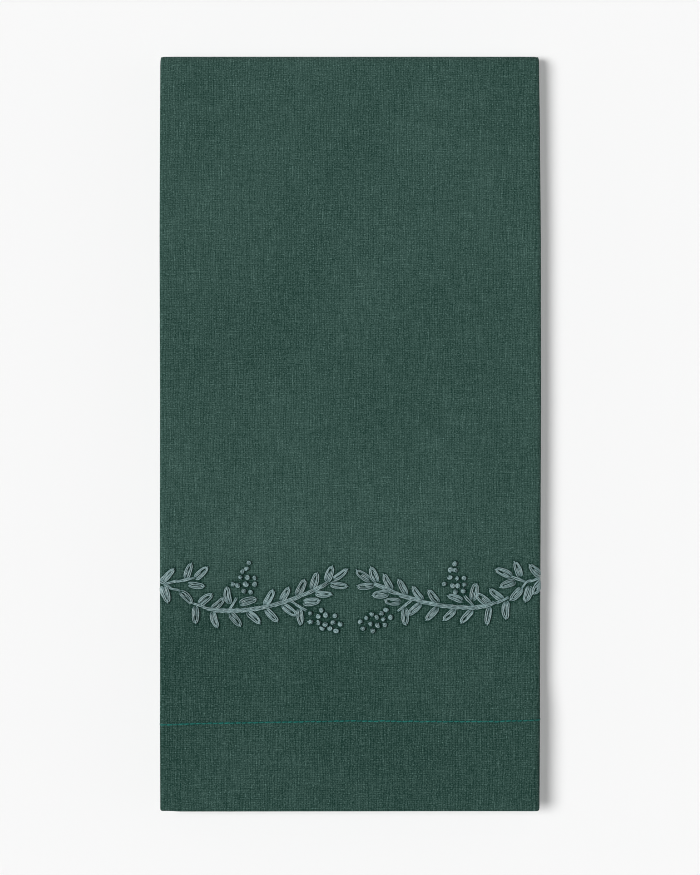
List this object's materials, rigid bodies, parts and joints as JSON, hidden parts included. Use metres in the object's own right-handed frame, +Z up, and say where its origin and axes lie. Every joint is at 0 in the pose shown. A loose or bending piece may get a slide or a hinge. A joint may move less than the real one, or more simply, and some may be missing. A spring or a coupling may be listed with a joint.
{
  "type": "folded linen towel",
  "caption": "Linen hand towel folded in thirds and once across, lying flat, with a deep stitched end hem and embroidered leafy sprays with knotted berries across the front.",
  "frame": {"origin": "middle of the underside, on the surface that the folded towel lies on", "axes": "+X across the folded towel to the viewer's right, +Y from the hemmed ends to the crosswise fold, +Z up out of the embroidered face"},
  "size_m": [0.1272, 0.2516, 0.009],
  "materials": {
    "linen": "matt plain weave"
  },
  "bodies": {
    "root": {"linen_towel": "linen"}
  },
  "joints": []
}
